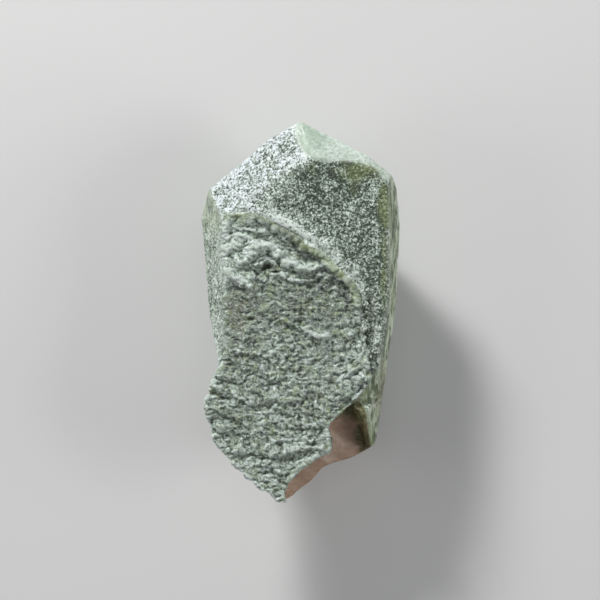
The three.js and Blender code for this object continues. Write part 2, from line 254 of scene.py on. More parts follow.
def depth_inside(outline, points):
    """How far inside a rounded outline each point lies. Outside it the number is negative."""
    x, y = points.T[:2]
    corners = rounded(outline)
    inside = np.zeros(len(x), bool)
    for (ax, ay), (bx, by) in zip(corners, np.roll(corners, -1, axis=0)):
        crosses = (ay > y) != (by > y)
        rise = np.where(crosses, by - ay, 1.0)
        inside ^= crosses & (x < ax + (bx - ax) * (y - ay) / rise)
    distance = away_from(corners, points, closed=True)
    return np.where(inside, distance, -distance)


def fading(distance, width):
    """1 where the distance is nothing, and fading to 0 beyond the width."""
    return np.exp(-((distance / width) ** 2))


def ridge(points, route, height, width):
    """A rounded ridge along a route, or a groove where the height is negative."""
    return height * fading(away_from(route, points), width)


def roll(points, route, height, above, below):
    """A ridge along a route from left to right, with its own width on each side."""
    x, y = points.T[:2]
    over = y > np.interp(x, [place[0] for place in route], [place[1] for place in route])
    return height * fading(away_from(route, points), np.where(over, above, below))


def mound(points, cx, cy, rx, ry):
    """1 at a centre and fading to 0 round it."""
    x, y = points.T[:2]
    return np.exp(-(((x - cx) / rx) ** 2) - ((y - cy) / ry) ** 2)


def patches(points, places):
    """The sum of a list's mounds, each times its amount."""
    return sum(amount * mound(points, *place) for amount, *place in places)


class Skin:
    """The points of a mesh, in millimetres, with the sums over neighbours that relief is made from."""

    def __init__(self, mesh):
        self.count = len(mesh.vertices)
        flat = np.zeros(self.count * 3, np.float32)
        mesh.vertices.foreach_get("co", flat)
        self.points = flat.reshape(-1, 3).astype(float)
        pairs = np.zeros(len(mesh.edges) * 2, np.int32)
        mesh.edges.foreach_get("vertices", pairs)
        self.pairs = pairs.reshape(-1, 2)
        self.links = np.bincount(pairs, minlength=self.count)
        self.mesh = mesh

    def neighbour_mean(self, values):
        """The mean of the values at each point's neighbours."""
        near, far = self.pairs.T
        columns = []
        for column in values.reshape(self.count, -1).T:
            total = np.bincount(near, column[far], self.count) + np.bincount(far, column[near], self.count)
            columns.append(total / self.links)
        return np.stack(columns, axis=1).reshape(values.shape)

    def relaxed(self, values, rounds):
        """The values after rounds of moving half way to the mean of their neighbours."""
        for _ in range(rounds):
            values = 0.5 * (values + self.neighbour_mean(values))
        return values

    def normals(self):
        """The direction that the skin faces at each point."""
        self.write()
        flat = np.zeros(self.count * 3, np.float32)
        self.mesh.vertex_normals.foreach_get("vector", flat)
        return flat.reshape(-1, 3).astype(float)

    def soft_normals(self):
        """The direction that the skin faces round each point, evened out between neighbours."""
        even = self.relaxed(self.normals(), 5)
        return even / np.linalg.norm(even, axis=1, keepdims=True)

    def write(self):
        """Puts the points back into the mesh."""
        self.mesh.vertices.foreach_set("co", self.points.astype(np.float32).ravel())
        self.mesh.update()

    def paint(self, name, values):
        """Keeps a number at each point for the material to read."""
        layer = self.mesh.attributes.new(name, "FLOAT", "POINT")
        layer.data.foreach_set("value", np.clip(values, 0, 1).astype(np.float32))


# The crystal's mesh


def refined_solid(node, step):
    """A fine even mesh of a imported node, in millimetres."""
    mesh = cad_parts[node].data.copy()
    points = np.zeros(len(mesh.vertices) * 3, np.float32)
    mesh.vertices.foreach_get("co", points)
    mesh.vertices.foreach_set("co", points / MM)
    mesh.materials.clear()
    work = bpy.data.objects.new("quartz_work", mesh)
    bpy.context.collection.objects.link(work)
    voxels = work.modifiers.new("even_mesh", "REMESH")
    voxels.mode = "VOXEL"
    voxels.voxel_size = step
    return applied(work)


def thinned(fine, budget):
    """The same mesh with fewer faces, above all where it is smooth or faces down."""
    skin = Skin(fine)
    spare = smooth(-skin.relaxed(skin.normals(), 8)[:, 2], -0.05, 0.35)
    full = bpy.data.objects.new("quartz_full", fine)
    bpy.context.collection.objects.link(full)
    work = bpy.data.objects.new("quartz_work", fine.copy())
    bpy.context.collection.objects.link(work)
    group = work.vertex_groups.new(name="spare")
    levels = np.round(0.2 + 0.8 * spare, 1)
    for level in np.unique(levels):
        group.add(np.nonzero(levels == level)[0].tolist(), float(level), "REPLACE")
    fewer = work.modifiers.new("fewer_faces", "DECIMATE")
    fewer.ratio = min(1.0, budget / (2 * len(fine.polygons)))
    fewer.vertex_group = "spare"
    fewer.vertex_group_factor = 0.01
    fewer.use_collapse_triangulate = True
    snap = work.modifiers.new("back_on_the_skin", "SHRINKWRAP")
    snap.target = full
    result = applied(work)
    bpy.data.objects.remove(full)
    return result


def applied(work):
    """A new mesh with an object's modifiers applied. The object is removed."""
    bpy.context.view_layer.update()
    seen = work.evaluated_get(bpy.context.evaluated_depsgraph_get())
    result = bpy.data.meshes.new_from_object(seen)
    bpy.data.objects.remove(work)
    return result


class Regions:
    """How much of each region every point belongs to, from 0 to 1, and how deep inside two edges it lies."""

    def __init__(self, points, normals):
        x, y, _ = points.T
        up = normals[:, 2]
        self.front = smooth(up, 0.0, 0.35)
        self.lower_right = smooth(x - 0.3 * y, 3.0, 8.0)
        self.crust_depth = depth_inside(CRUST_EDGE, points)
        self.crust = self.find_crust(x, y, up)
        self.left_tip = self.front * smooth(depth_inside(LEFT_TIP_FACE, points), -1.6, 1.6) * (1 - self.crust)
        self.right_tip_depth = depth_inside(RIGHT_TIP_FACE, points)
        self.right_tip = self.front * smooth(self.right_tip_depth, -0.25, 0.25)
        self.find_sides(x, y, normals)
        self.find_break(x, y, normals)
        self.strip = smooth(-y, -8.0, -2.0) * smooth(-self.crust_depth, -0.1, 0.2) * self.front
        self.strip *= (1 - self.broken) * (1 - self.right_side)
        self.back = smooth(-up, 0.1, 0.35) * (1 - self.broken)

    def find_crust(self, x, y, up):
        """The crust covers what faces up inside its edge, its rim and the ledge's wall."""
        rim = smooth(up, -0.45, -0.1) * smooth(-y, 9.0, 12.0)
        ledge_wall = smooth(y, 0.0, 2.0) * smooth(x, -14.0, -12.0) * smooth(up, -0.3, 0.0)
        faces_out = np.maximum(np.maximum(smooth(up, 0.15, 0.5), rim), ledge_wall)
        fade = 0.2 + 1.1 * smooth(-x, 14.0, 15.0) * smooth(y, -10.0, -8.0)
        return smooth(self.crust_depth / fade, -1, 0.8) * faces_out

    def find_sides(self, x, y, normals):
        """The streaked side faces, right of their edge and at the far left."""
        out, _, up = normals.T
        right_of_edge = x - edge_at(y, RIGHT_SIDE_EDGE)
        steep = smooth(out + 0.3 * smooth(-y, 9.5, 12.0), 0.4, 0.7)
        self.right_side = smooth(right_of_edge, -0.5, 0.7) * steep * smooth(up, -0.2, 0.1) * (1 - self.crust)
        self.left_side = smooth(-out, 0.6, 0.8) * smooth(up, 0.0, 0.25) * (1 - self.crust)

    def find_break(self, x, y, normals):
        """The clean break, the end of the root below it, and the dark fringe along the break's edges, which
        is partly painted shade.
        """
        _, along, up = normals.T
        left_of_edge = edge_at(y, BREAK_EDGE) - x
        hollow = smooth(left_of_edge, -0.2, 0.2) * smooth(-self.crust_depth, 0.0, 0.2) * smooth(up, 0.0, 0.3)
        root_end = smooth(-along, 0.35, 0.55) * (1 - self.crust) * smooth(x, -9.0, -7.0)
        self.broken = np.maximum(hollow * smooth(-y, 16.6, 17.4), root_end * smooth(-y, 17.0, 19.0))
        fringe_width = 2.2 + 1.6 * smooth(-y, 21.0, 25.0)
        beside_edge = smooth(-left_of_edge / fringe_width, -1.2, -0.3) * smooth(-y, 16.0, 18.0)
        beside_edge *= np.maximum(smooth(left_of_edge, -0.9, -0.3), self.broken)
        # Under the crust's rim the fringe is painted shadow.
        below_rim = smooth(self.crust_depth, -1.6, -0.2) * smooth(-y, 15.0, 16.5) * smooth(y, -24.0, -20.5)
        self.break_fringe = np.maximum(beside_edge, 0.6 * below_rim * self.broken)


class Lumps:
    """The knobs that the crust is made of, the number of its own that each has, and the pits between them."""

    def __init__(self, rest, settings):
        width = settings.lump_width
        stray = np.stack([layered(rest, 1.7, salt) for salt in (11, 21, 31)], axis=1)
        self.bent = rest + settings.lump_stray * stray
        self.big, self.big_own = knobs(self.bent, width * np.array([1.9, 1.35, 1.6]), 41)
        self.middle, self.middle_own = knobs(self.bent, width * np.array([1.1, 0.85, 1.0]), 51)
        self.small, _ = knobs(self.bent, width * 0.55, 61)
        self.pits = patches(self.bent, PITS)

    def relief(self, rest, at, settings):
        """How far the crust stands out of the broad forms below it."""
        wrinkle = 1 - 2 * np.abs(layered(self.bent, (4.0, 1.9, 3.0), 71))
        thin_fold = np.maximum(1 - 3 * np.abs(layered(self.bent, (1.3, 0.9, 1.1), 65, 2)), -0.2)
        height = 0.9 * (self.big - 0.5) * (0.4 + 0.9 * self.big_own)
        height += 0.8 * (self.middle - 0.5) * (0.4 + 1.1 * self.middle_own)
        height += 0.3 * (self.small - 0.5) + 0.2 * wrinkle + 0.4 * thin_fold
        height += 0.7 * layered(self.bent, (5.0, 2.4, 4.0), 75, 2)
        height *= settings.lump_height * (0.9 + 0.4 * layered(rest, 4.5, 45, 2))
        height += sum(roll(self.bent, *crest) for crest in CRUST_CRESTS) * (0.5 + 1.2 * self.middle)
        height -= PIT_DEPTH * self.pits + patches(self.bent, CRUST_HOLLOWS)
        at_rim = fading(at.crust_depth - 0.3, 0.4) * at.lower_right
        height += at_rim * (0.05 + 0.3 * self.middle) * (0.4 + 0.6 * self.big_own)
        return height * (1 - 0.85 * fading(away_from(LEDGE, rest), 0.55))


def carve(skin, settings):
    """Gives the skin its relief, and paints on it what the material needs to know."""
    skin.points = skin.relaxed(skin.points, 2)
    rest = skin.points.copy()
    at = Regions(rest, skin.soft_normals())
    shape_broad_forms(skin, at, rest)
    outwards = skin.soft_normals()
    lumps = Lumps(rest, settings)
    push = at.crust * lumps.relief(rest, at, settings) + face_relief(rest, at, lumps, settings)
    skin.points += push[:, None] * outwards
    wear = np.clip(((rest - skin.relaxed(rest, 20)) * outwards).sum(axis=1) / 0.25, 0, 1)
    skin.points -= edge_chips(rest, at, wear)[:, None] * outwards
    keep_inside_box(skin)
    paint_regions(skin, at, rest, lumps)
    paint_frost(skin, at, rest)
    paint_stains(skin, at, rest)
    paint_edges(skin, at, rest, wear)


def shape_broad_forms(skin, at, rest):
    """Smooths away the solid's facets on the crust, lowers its upper half and banks it against the ledge."""
    x, y, z = rest.T
    calm = skin.relaxed(rest, 10)
    skin.points += (calm - rest) * at.crust[:, None] * smooth(at.crust_depth, 0.3, 1.0)[:, None]
    skin.points[:, 2] -= CRUST_SINK * at.crust * smooth(at.crust_depth, 0.3, 2.5) * smooth(y, -4.0, 4.0)
    from_ledge = away_from(LEDGE, rest)
    cave = smooth(x, -7.4, -5.8) * smooth(-x, -1.0, 0.2)
    bank = front_height(x, y) + 0.1 - (0.6 + 0.9 * cave) * smooth(from_ledge / (1.0 + 0.9 * cave), 0.1, 1.2)
    bank -= 1.2 * (1 - cave) * smooth(from_ledge, 0.8, 4.0)
    lift = np.maximum(bank - skin.points[:, 2], 0) * smooth(at.crust_depth, -0.15, 0.05)
    skin.points[:, 2] += np.where(z > 17, lift, 0)
    skin.points = skin.relaxed(skin.points, 1)


def front_height(x, y):
    """The height of the solid's front, and of its left tip face where that slopes down from it."""
    front = 22 - 0.035 * x
    left_tip_face = 21.75 + 0.27 * (x + 5.2) - 0.29 * (y - 24.2)
    return np.minimum(front, left_tip_face)


def face_relief(rest, at, lumps, settings):
    """The grain, streaks and ribs of the faces, the groove and strip, and the lip and hollow of the front."""
    x, y, _ = rest.T
    knobbed, _ = knobs(rest, 0.55, 81)
    rough = (knobbed - 0.6) + 0.7 * layered(rest, 0.42, 91, 2) + 0.8 * layered(rest, 2.2, 95, 2)
    frosted = settings.grain_height * rough
    along = settings.streak_height * layered(rest, (0.55, 9.0, 0.55), 101)
    across = settings.streak_height * layered(rest, (9.0, 0.7, 9.0), 111)
    from_blow = np.hypot(x - BLOW[0], y - BLOW[1])
    ribs = 0.02 * np.sin(2.6 * from_blow + 1.5 * grain(rest, 4.0, 121)) + 0.02 * layered(rest, 3.0, 141)

    sides = np.maximum(at.right_side, at.left_side)
    faces = np.clip(1 - at.crust - sides - at.broken - at.back, 0, 1)
    push = faces * (1 - 0.85 * at.right_tip) * frosted
    push += sides * (along + 0.3 * frosted) + at.back * (across + 0.3 * frosted) + at.broken * ribs
    push += at.strip * 0.32 * (knobs(rest, np.array([0.7, 1.5, 0.8]), 131)[0] - 0.5)
    filled = ridge(np.stack([lumps.bent[:, 0], y], axis=1), GROOVE, 1.45, 0.85)
    push += at.strip * filled * (0.85 + 0.4 * layered(rest, 1.6, 191, 2))
    scoop = smooth(at.right_tip_depth, -0.1, 1.0) * smooth(-at.right_tip_depth, -3.5, -0.8)
    push -= at.front * 0.4 * scoop * smooth(-x, -4.0, -1.0) * smooth(-y, -37.0, -35.0)
    return push + at.front * ridge(lumps.bent, SMOOTH_LIP, 0.55, 0.7) * (0.4 + 0.9 * lumps.middle)


def edge_chips(rest, at, wear):
    """How much is worn and chipped off the sharp edges."""
    worn = wear * (1 - at.crust) * (0.10 + 0.16 * layered(rest, 1.3, 171))
    return np.maximum(worn, 0) + 0.5 * patches(rest, TIP_CHIPS) * smooth(wear, 0.1, 0.5)


def keep_inside_box(skin):
    """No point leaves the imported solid's box, so the crystal still lies flat on its base."""
    low, high = (np.array(corner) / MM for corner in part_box(NODE))
    skin.points = np.clip(skin.points, low, high)


def paint_regions(skin, at, rest, lumps):
    """Paints where each finish lies, and how far the skin stands out or sinks in round each point."""
    y = rest[:, 1]
    normals = skin.normals()
    calm = skin.relaxed(skin.points, 14)
    calmer = skin.relaxed(calm, 60)
    raised = ((skin.points - calm) * normals).sum(axis=1)
    sunken = ((calmer - calm) * normals).sum(axis=1)
    # How raised each place is, which the crust's colour turns into painted highlights on the knobs' tops.
    skin.paint("crest", 0.5 + raised / 0.32)
    # How sunken each place is, where the crust is painted darker as painted shade.
    skin.paint("hollow", sunken / 0.35)
    skin.paint("crust", at.crust)
    skin.paint("own", 0.5 * lumps.middle_own + 0.5 * lumps.big_own)
    # The deepest pits, to be painted dark as painted shade.
    skin.paint("pit", at.crust * lumps.pits * (0.8 + 0.6 * layered(rest, 0.8, 155, 2)))
    skin.paint("side", at.right_side + at.left_side * (0.15 + 0.55 * smooth(y, 14.0, 19.0)))
    skin.paint("smooth_tip", at.right_tip)
    skin.paint("smooth_shade", at.right_tip * smooth(-rest[:, 0], -8.0, 0.0))
    skin.paint("left_tip", at.left_tip)
    skin.paint("broken", at.broken)


def paint_frost(skin, at, rest):
    """Paints how frosted each place is, with painted light in a band along the bright ledge and a painted
    highlight along the tip's ridge. On the crust it is how pale it is, with painted highlights on the pale
    crests, painted light on the swelling at the left, and painted shade in the hollow and at the ledge's
    seam.
    """
    x, y, _ = rest.T
    frost = 0.39 + 0.26 * layered(rest, 3.0, 151) + patches(rest, FROST_PATCHES)
    frost += at.left_tip * (0.28 + 0.06 * mound(rest, -14.0, 22.0, 6.0, 5.0))
    frost += at.left_tip * 0.16 * fading(away_from(LEFT_TIP_EDGE, rest), 1.2)
    # A painted highlight on the tip face along its ridge.
    frost += at.left_tip * 0.25 * fading(away_from(TIP_RIDGE, rest), 0.9)
    # A band along the bright ledge is painted brighter, partly frost and partly painted light where the face
    # turns up towards the light.
    frost += 0.62 * fading(away_from(BRIGHT_LEDGE, rest), 2.4) * (1 - at.crust)
    frost += 0.22 * at.left_side + 0.6 * at.strip * mound(rest, 15.5, -4.8, 0.9, 2.2)
    frost -= 0.25 * np.minimum(patches(rest, FACE_OLIVE), 1)

    pale = 0.47 + 0.3 * layered(rest, 3.0, 153) + patches(rest, PALE_PATCHES)
    pale += 0.12 * smooth(-y, 20.0, 28.0)
    # Painted highlights on the pale crests near the ledge.
    crests = sum(fading(away_from(route, rest), 0.7) for route in HIGHLIGHT_CRESTS)
    pale += 0.8 * crests * (0.3 + 0.7 * smooth(layered(rest, 1.5, 187, 2), -0.3, 0.3))
    # Painted shade at the ledge's seam.
    pale -= 0.6 * ledge_seam_shade(at, rest)
    pale -= 0.4 * fading(at.crust_depth - 0.2, 0.5) * smooth(x, 5.0, 8.0) * smooth(-y, 10.0, 14.0)
    skin.paint("frost", frost * (1 - at.crust) + pale * at.crust)


def ledge_seam_shade(at, rest):
    """The thin seam where the crust meets the left half of the ledge, painted darker and olive as painted
    shade.
    """
    return fading(away_from(LEFT_LEDGE, rest), 0.5) * smooth(at.crust_depth, -0.25, 0.1)


def ledge_bank(at, rest):
    """The strip of crust that banks up against the upper part of the ledge."""
    x, y, _ = rest.T
    strip = smooth(at.crust_depth, -0.1, 0.2) * smooth(-at.crust_depth, -1.7, -0.7)
    return strip * smooth(y, 11.0, 14.0) * smooth(x, -14.5, -12.5)


def paint_stains(skin, at, rest):
    """Paints the olive and brown stains, and with them painted shade at the ledge's seam and bank, and
    painted shadow on the break under the crust's edge.
    """
    x = rest[:, 0]
    olive = patches(rest, FACE_OLIVE) + patches(rest, LIP_OLIVE) + at.crust * patches(rest, CRUST_OLIVE)
    olive += 0.9 * ledge_bank(at, rest) * (0.5 + 0.5 * smooth(x, -6.0, -4.0)) + 0.9 * ledge_seam_shade(at, rest)
    olive += 1.2 * at.right_side * mound(rest, 12.3, -16.6, 1.5, 1.8)
    # Painted shadow on the break under the crust's edge, and the dark fringe beside the break's edge, partly
    # painted shade.
    olive += 1.8 * at.broken * mound(rest, 10.6, -19.0, 2.6, 2.6) + 1.3 * at.break_fringe * (1 - at.crust)
    skin.paint("olive", olive * (0.75 + 0.5 * layered(rest, 1.6, 161)))
    # Low on the right side the brown is a painted reflection; on the crust it is a stain.
    brown = at.crust * patches(rest, CRUST_BROWN) + at.right_side * mound(rest, 17.2, -17.5, 1.8, 6.0)
    skin.paint("brown", brown)


def paint_edges(skin, at, rest, wear):
    """Paints the worn edges with a painted highlight along the tip's ridge, the smooth lip with painted
    highlights on the crust's rim and the brow and a lighter colour that lifts the shade on the ledge's bank,
    and painted shade in the groove and the line beside it.
    """
    y = rest[:, 1]
    # A painted highlight along the tip's ridge is painted together with the wear of the sharp edges.
    tip_ridge_highlight = fading(away_from(TIP_RIDGE[1:], rest), 0.25)
    skin.paint("wear", np.maximum(wear, 0.9 * tip_ridge_highlight * at.front))

    patchy = 0.4 + 0.6 * smooth(layered(rest, 1.1, 185, 2), -0.7, 0.2)
    lip = fading(away_from(SMOOTH_LIP, rest), 0.7) * at.front * smooth(at.crust_depth, -0.4, 0.0)
    # The bank against the ledge is painted like the lip, a lighter colour that lifts the shade on its wall.
    lip = np.maximum(lip, 0.3 * ledge_bank(at, rest)) * patchy
    # Painted highlights on the crust's lower right rim and on the brow of the right tip face.
    rim = fading(at.crust_depth - 0.25, 0.3) * at.front * at.lower_right
    brow = fading(away_from(BROW, rest), 0.35) * at.front
    rim = np.maximum(rim, brow * smooth(layered(rest, 2.0, 183), -0.4, 0.2))
    rim *= (0.7 + 0.9 * smooth(-y, 24.0, 28.0)) * smooth(layered(rest, 1.2, 181), -0.1, 0.6)
    skin.paint("lip", np.maximum(lip, 0.6 * rim))

    # Painted shade in the groove and along the line beside it.
    groove = np.maximum(ridge(rest, GROOVE, 0.4, 0.9), ridge(rest, SIDE_LINE, 0.5, 0.5))
    broken_up = smooth(layered(rest, (1.0, 3.5, 1.0), 201, 2), -0.6, 0.2)
    skin.paint("groove", groove * at.front * (1 - at.crust) * broken_up)


# Materials


QUARTZ_IOR = 1.544

# Colours that go with those of the settings, on the faces, the sides, the crust, its edges and the break,
# with painted shade and painted highlights among them
DARK_GRAIN = (0.096, 0.145, 0.085, 1.0)
MIDDLE_GRAIN = (0.215, 0.292, 0.203, 1.0)
WHITE_FLECK_AND_GLINT = (0.80, 0.88, 0.83, 1.0)
COOL_LIGHT = (0.885, 0.86, 0.95, 1.0)
SMOOTH_FACE_DARK = (0.31, 0.40, 0.31, 1.0)
SMOOTH_FACE_PALE = (0.60, 0.67, 0.62, 1.0)
STREAK_DARK = (0.060, 0.088, 0.034, 1.0)
STREAK_PALE = (0.54, 0.62, 0.47, 1.0)
STREAK_OLIVE = (0.23, 0.30, 0.14, 1.0)
SIDE_BROWN_REFLECTION = (0.20, 0.16, 0.09, 1.0)
FLANK_GREEN = (0.150, 0.192, 0.155, 1.0)
CREST_HIGHLIGHT = (0.89, 1.00, 0.94, 1.0)
KNOB_GREEN = (0.24, 0.32, 0.12, 1.0)
KNOB_BLUE_GREY = (0.24, 0.29, 0.30, 1.0)
MOSS_GREEN = (0.33, 0.42, 0.20, 1.0)
CRUST_BROWN_COLOUR = (0.190, 0.185, 0.118, 1.0)
CRUST_OLIVE_COLOUR = (0.22, 0.24, 0.125, 1.0)
SMALL_PIT_SHADE = (0.055, 0.080, 0.045, 1.0)
SMALL_RIM_HIGHLIGHT = (0.72, 0.83, 0.75, 1.0)
RIM_HIGHLIGHT = (0.82, 0.92, 0.84, 1.0)
PIT_SHADE = (0.040, 0.055, 0.033, 1.0)
DEEP_PIT_SHADE = (0.045, 0.055, 0.020, 1.0)
LIP_GREEN = (0.38, 0.47, 0.27, 1.0)
LIP_OLIVE_GREEN = (0.19, 0.23, 0.08, 1.0)
WORN_PALE_AND_HIGHLIGHT = (0.60, 0.65, 0.60, 1.0)
WARM_LIGHT_THROUGH = (1.0, 0.70, 0.50, 1.0)
BROWN_LIGHT_THROUGH = (0.82, 0.54, 0.38, 1.0)
FRINGE_DARK = (0.17, 0.16, 0.06, 1.0)
FRINGE_OLIVE = (0.42, 0.42, 0.20, 1.0)


class Sum:
    """One socket of a shader, so that sums of sockets are written as plain sums."""

    def __init__(self, finish, socket):
        self.finish = finish
        self.socket = socket

    def _math(self, operation, *terms):
        return self.finish.node("ShaderNodeMath", {"operation": operation}, dict(enumerate(terms)))

    def __add__(self, other):
        return self._math("ADD", self, other)

    __radd__ = __add__

    def __sub__(self, other):
        return self._math("SUBTRACT", self, other)

    def __rsub__(self, other):
        return self._math("SUBTRACT", other, self)

    def __mul__(self, other):
        return self._math("MULTIPLY", self, other)

    __rmul__ = __mul__

    def rise(self, start, end):
        """0 before start and 1 after end, with an eased rise between them."""
        sockets = {"Value": self, "From Min": start, "From Max": end}
        return self.finish.node("ShaderNodeMapRange", {"interpolation_type": "SMOOTHSTEP"}, sockets)

    def band(self, start, end):
        """1 half way between start and end, and 0 outside them."""
        middle = (start + end) / 2
        return self.rise(start, middle) * (1 - self.rise(middle, end))


class Finish:
    """A material in the making."""

    def __init__(self, name):
        self.material = bpy.data.materials.new(name)
        self.material.use_nodes = True
        self.tree = self.material.node_tree
        self.tree.nodes.clear()

    def node(self, kind, settings=None, sockets=None, output=0):
        """Adds a node, sets it up, fills its sockets with values or links, and gives one of its outputs."""
        made = self.tree.nodes.new(kind)
        for name, value in (settings or {}).items():
            if name == "stops":
                set_stops(made.color_ramp, value)
            else:
                setattr(made, name, value)
        for name, value in (sockets or {}).items():
            if isinstance(value, Sum):
                self.tree.links.new(value.socket, made.inputs[name])
            else:
                made.inputs[name].default_value = value
        return Sum(self, made.outputs[output]) if made.outputs else None

    def painted(self, name):
        """A number that was painted on the mesh."""
        return self.node("ShaderNodeAttribute", {"attribute_name": name}, output="Fac")

    def place(self, stretch=(1.0, 1.0, 1.0)):
        """The place on the crystal in millimetres, squeezed along its axes."""
        place = self.node("ShaderNodeTexCoord", output="Object")
        scale = tuple(1.0 / (MM * part) for part in stretch)
        return self.node("ShaderNodeVectorMath", {"operation": "MULTIPLY"}, {0: place, 1: scale})

    def noise(self, size, detail=2.0, stretch=(1.0, 1.0, 1.0), rough=0.5, twist=0.0):
        """Noise from 0 to 1 with blobs about as wide as size in millimetres."""
        sockets = {"Vector": self.place(stretch), "Scale": 1.0 / size, "Detail": detail, "Roughness": rough}
        sockets["Distortion"] = twist
        return self.node("ShaderNodeTexNoise", {}, sockets, output="Fac")

    def ramp(self, stops, value):
        """The colour at a value between a ramp's stops."""
        return self.node("ShaderNodeValToRGB", {"stops": stops}, {"Fac": value}, output="Color")

    def bump(self, height, strength, depth):
        """A normal for relief that is too fine for the mesh, up to depth millimetres high."""
        sockets = {"Strength": strength, "Distance": depth * MM, "Height": height}
        return self.node("ShaderNodeBump", {}, sockets, output="Normal")

    def mix(self, share, first, second, blend="MIX"):
        """From the first colour to the second, or to what the second makes of it."""
        settings = {"data_type": "RGBA", "blend_type": blend}
        return self.node("ShaderNodeMix", settings, {"Factor": share, 6: first, 7: second}, output=2)

    def finish(self, surface, volume=None):
        """Ends the material with its surface, and with what fills it."""
        sockets = {"Surface": surface}
        if volume:
            sockets["Volume"] = volume
        self.node("ShaderNodeOutputMaterial", {}, sockets)
        return self.material


def set_stops(ramp, stops):
    """Gives a colour ramp its stops."""
    while len(ramp.elements) < len(stops):
        ramp.elements.new(1.0)
    for element, (position, colour) in zip(ramp.elements, stops):
        element.position = position
        element.color = colour


def solid_colour(colour):
    """A colour setting as the four numbers that a socket takes."""
    return (colour[0], colour[1], colour[2], 1.0)


def frosted_quartz(settings):
    """The quartz that is full of chlorite: its crust, its frosted faces and its streaked sides."""
    finish = Finish("frosted_chlorite_quartz")
    crust, side, tip = finish.painted("crust"), finish.painted("side"), finish.painted("smooth_tip")
    crest, olive, lip = finish.painted("crest"), finish.painted("olive"), finish.painted("lip")
    speck = finish.noise(0.42, 3.0, rough=0.75, twist=0.7)
    clump = finish.noise(1.3, 3.0, rough=0.7, twist=0.8)
    curl = finish.noise(0.7, 2.0, stretch=(1.25, 0.9, 1.0), rough=0.6, twist=0.6)
    small_curl = finish.noise(0.42, 2.0, rough=0.6, twist=0.6)
    # Thin painted highlights on the upper edges of the crust's knobs, large and small.
    rim = curl.band(0.44, 0.54) * crest.rise(0.1, 0.5)
    small_rim_highlight = small_curl.band(0.45, 0.55)
    crust_stain_and_shade = (olive * (finish.noise(1.4, 3.0) * 1.5)).rise(0.2, 1.0)

    faces = face_colour(finish, settings, speck, clump)
    knobbed = crust_colour(finish, settings, clump, crust_stain_and_shade)
    # Painted shade in the small pits and between the knobs, darkest in the deepest pits.
    small_pit_shade = (1 - small_curl.rise(0.30, 0.40)) * (1 - crest.rise(0.5, 0.9))
    knobbed = finish.mix(small_pit_shade * 0.6, knobbed, SMALL_PIT_SHADE)
    knobbed = finish.mix(small_rim_highlight * 0.4, knobbed, SMALL_RIM_HIGHLIGHT)
    knobbed = finish.mix(rim * 0.85, knobbed, RIM_HIGHLIGHT)
    pit = (1 - curl.rise(0.27, 0.36)) * (1 - crest.rise(0.4, 0.65))
    knobbed = finish.mix(pit * 0.8, knobbed, PIT_SHADE)
    knobbed = finish.mix(finish.painted("pit") * 0.8, knobbed, DEEP_PIT_SHADE)

    colour = finish.mix(crust, faces, knobbed)
    # The lip's colour, which is also the painted highlight on the rim and the brow, and lifts the shade on
    # the ledge's bank.
    colour = finish.mix(lip * (0.3 + speck), colour, LIP_GREEN)
    colour = finish.mix(lip.rise(0.05, 0.5) * crust_stain_and_shade * 0.8, colour, LIP_OLIVE_GREEN)
    # Worn edges are painted pale, and with them the painted highlight along the tip's ridge.
    worn = finish.painted("wear") * (1 - crust) * (1 - olive * 0.7)
    colour = finish.mix(worn * 0.7, colour, WORN_PALE_AND_HIGHLIGHT)

    bumps = finish.noise(0.24, 2.0, rough=0.6) + (rim * 1.4 + small_rim_highlight * 0.6) * crust + speck * 0.8
    bumps = bumps * (1 - tip * 0.85) * (1 - side * 0.6) * (1 - lip * 0.5)
    surface = finish.node(
        "ShaderNodeBsdfPrincipled",
        {},
        {
            "Base Color": colour,
            "Roughness": 0.38 + finish.noise(0.5, 2.0) * 0.24 - side * 0.08,
            "IOR": QUARTZ_IOR,
            "Normal": finish.bump(bumps, 0.8, 0.2),
            "Subsurface Weight": 0.1,
            "Subsurface Radius": (0.9, 1.0, 0.8),
            "Subsurface Scale": 0.2 * MM,
            "Coat Weight": 0.2,
            "Coat Roughness": 0.25,
        },
    )
    return finish.finish(surface)


